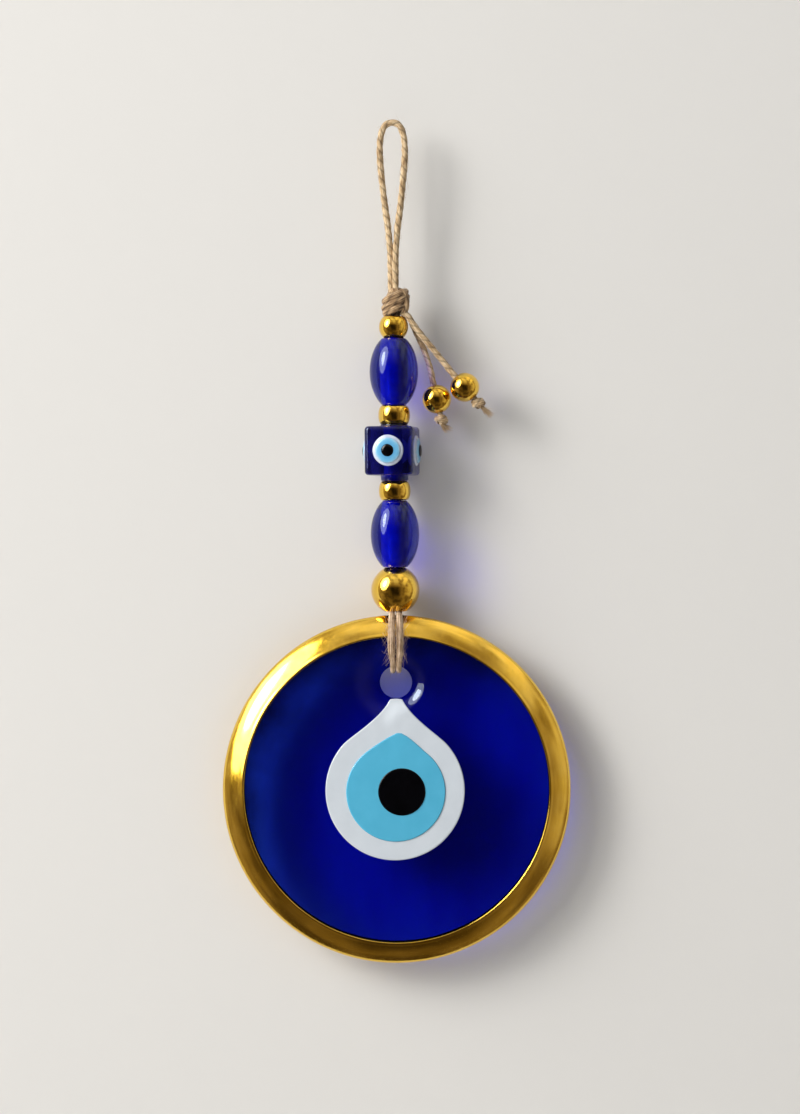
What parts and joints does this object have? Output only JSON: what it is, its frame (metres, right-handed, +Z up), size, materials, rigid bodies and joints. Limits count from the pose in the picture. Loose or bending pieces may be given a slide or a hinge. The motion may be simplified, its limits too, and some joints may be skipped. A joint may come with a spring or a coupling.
{
  "type": "evil eye ornament",
  "caption": "Glass evil eye disc in a gold rim, hung from a jute cord strung with cobalt barrel beads, an eye cube bead and gold beads, with two short ball-ended tails and a hanging loop.",
  "frame": {"origin": "where the top of the hanging loop rests on its nail", "axes": "+Z up, along the cord to the nail; +X to the right; the face of the eye towards -Y; +Y towards the wall"},
  "size_m": [0.1, 0.0176, 0.2424],
  "materials": {
    "cobalt_glass": "glossy translucent cobalt-blue glass with faint ripples",
    "navy_glass": "glossy near-opaque navy lampwork glass",
    "white_glass": "glossy opaque white glass",
    "sky_glass": "glossy opaque light-blue glass",
    "black_glass": "glossy opaque black glass",
    "gold": "mirror-polished gold plating",
    "jute": "two-ply twisted natural jute, fuzzy"
  },
  "bodies": {
    "loop": {"hanging_loop": "jute"},
    "neck": {"neck_cord_left": "jute", "neck_cord_right": "jute"},
    "strand": {"main_knot": "jute", "core_strand_front_left": "jute", "core_strand_front_right": "jute", "core_strand_back_left": "jute", "core_strand_back_right": "jute"},
    "bead_top": {"gold_bead_top": "gold"},
    "barrel_upper": {"barrel_bead_upper": "cobalt_glass"},
    "spacer_upper": {"gold_spacer_upper": "gold"},
    "cube": {"cube_bead": "navy_glass", "cube_eye_front_white": "white_glass", "cube_eye_front_blue": "sky_glass", "cube_eye_front_pupil": "black_glass", "cube_eye_right_white": "white_glass", "cube_eye_right_blue": "sky_glass", "cube_eye_right_pupil": "black_glass", "cube_eye_back_white": "white_glass", "cube_eye_back_blue": "sky_glass", "cube_eye_back_pupil": "black_glass", "cube_eye_left_white": "white_glass", "cube_eye_left_blue": "sky_glass", "cube_eye_left_pupil": "black_glass"},
    "spacer_lower": {"gold_spacer_lower": "gold"},
    "barrel_lower": {"barrel_bead_lower": "cobalt_glass"},
    "bead_large": {"gold_bead_large": "gold"},
    "disc_hanger": {"lower_cord_left": "jute", "lower_cord_right": "jute"},
    "disc": {"glass_disc": "cobalt_glass", "gold_rim": "gold", "eye_white": "white_glass", "eye_light_blue": "sky_glass", "eye_pupil": "black_glass"},
    "tail_outer": {"tail_cord_outer": "jute", "tail_end_knot_outer": "jute"},
    "tail_inner": {"tail_cord_inner": "jute", "tail_end_knot_inner": "jute"},
    "ball_outer": {"tail_ball_outer": "gold"},
    "ball_inner": {"tail_ball_inner": "gold"}
  },
  "joints": [
    {"name": "neck_swing", "type": "hinge", "parent": "loop", "child": "neck", "pos_m": [0, 0, -0.03315], "axis": [0, 1, 0], "range_deg": [-20, 20]},
    {"name": "strand_lift", "type": "hinge", "parent": "neck", "child": "strand", "pos_m": [0, 0, -0.04645], "axis": [-1, 0, 0], "range_deg": [0, 40], "deforming": ["neck_cord_left", "neck_cord_right"]},
    {"name": "bead_top_spin", "type": "hinge", "parent": "strand", "child": "bead_top", "pos_m": [0, 0, -0.05785], "axis": [0, 0, 1], "continuous": true},
    {"name": "barrel_upper_spin", "type": "hinge", "parent": "strand", "child": "barrel_upper", "pos_m": [0, 0, -0.0707], "axis": [0, 0, 1], "continuous": true},
    {"name": "spacer_upper_spin", "type": "hinge", "parent": "strand", "child": "spacer_upper", "pos_m": [0, 0, -0.08325], "axis": [0, 0, 1], "continuous": true},
    {"name": "cube_spin", "type": "hinge", "parent": "strand", "child": "cube", "pos_m": [0, 0, -0.0935], "axis": [0, 0, 1], "continuous": true},
    {"name": "spacer_lower_spin", "type": "hinge", "parent": "strand", "child": "spacer_lower", "pos_m": [0, 0, -0.10495], "axis": [0, 0, 1], "continuous": true},
    {"name": "barrel_lower_spin", "type": "hinge", "parent": "strand", "child": "barrel_lower", "pos_m": [0, 0, -0.1173], "axis": [0, 0, 1], "continuous": true},
    {"name": "bead_large_spin", "type": "hinge", "parent": "strand", "child": "bead_large", "pos_m": [0, 0, -0.13345], "axis": [0, 0, 1], "continuous": true},
    {"name": "disc_tilt", "type": "hinge", "parent": "strand", "child": "disc_hanger", "pos_m": [0, 0, -0.1396], "axis": [-1, 0, 0], "range_deg": [0, 25], "deforming": ["lower_cord_left", "lower_cord_right"]},
    {"name": "disc_swing", "type": "hinge", "parent": "disc_hanger", "child": "disc", "pos_m": [0, 0, -0.1553], "axis": [0, 1, 0], "range_deg": [-12, 12]},
    {"name": "tail_outer_swing", "type": "hinge", "parent": "strand", "child": "tail_outer", "pos_m": [0.00377, 0, -0.0546], "axis": [-1, 0, 0], "range_deg": [0, 60], "deforming": ["tail_cord_outer"]},
    {"name": "tail_inner_swing", "type": "hinge", "parent": "strand", "child": "tail_inner", "pos_m": [0.0042, 0, -0.0546], "axis": [-1, 0, 0], "range_deg": [0, 60], "deforming": ["tail_cord_inner"]},
    {"name": "ball_outer_spin", "type": "hinge", "parent": "tail_outer", "child": "ball_outer", "pos_m": [0.02035, -0.0015, -0.0754], "axis": [-0.6428, 0, 0.766], "continuous": true},
    {"name": "ball_inner_slide", "type": "slide", "parent": "tail_inner", "child": "ball_inner", "axis": [-0.2079, 0, 0.9781], "range_m": [0, 0.004]}
  ]
}
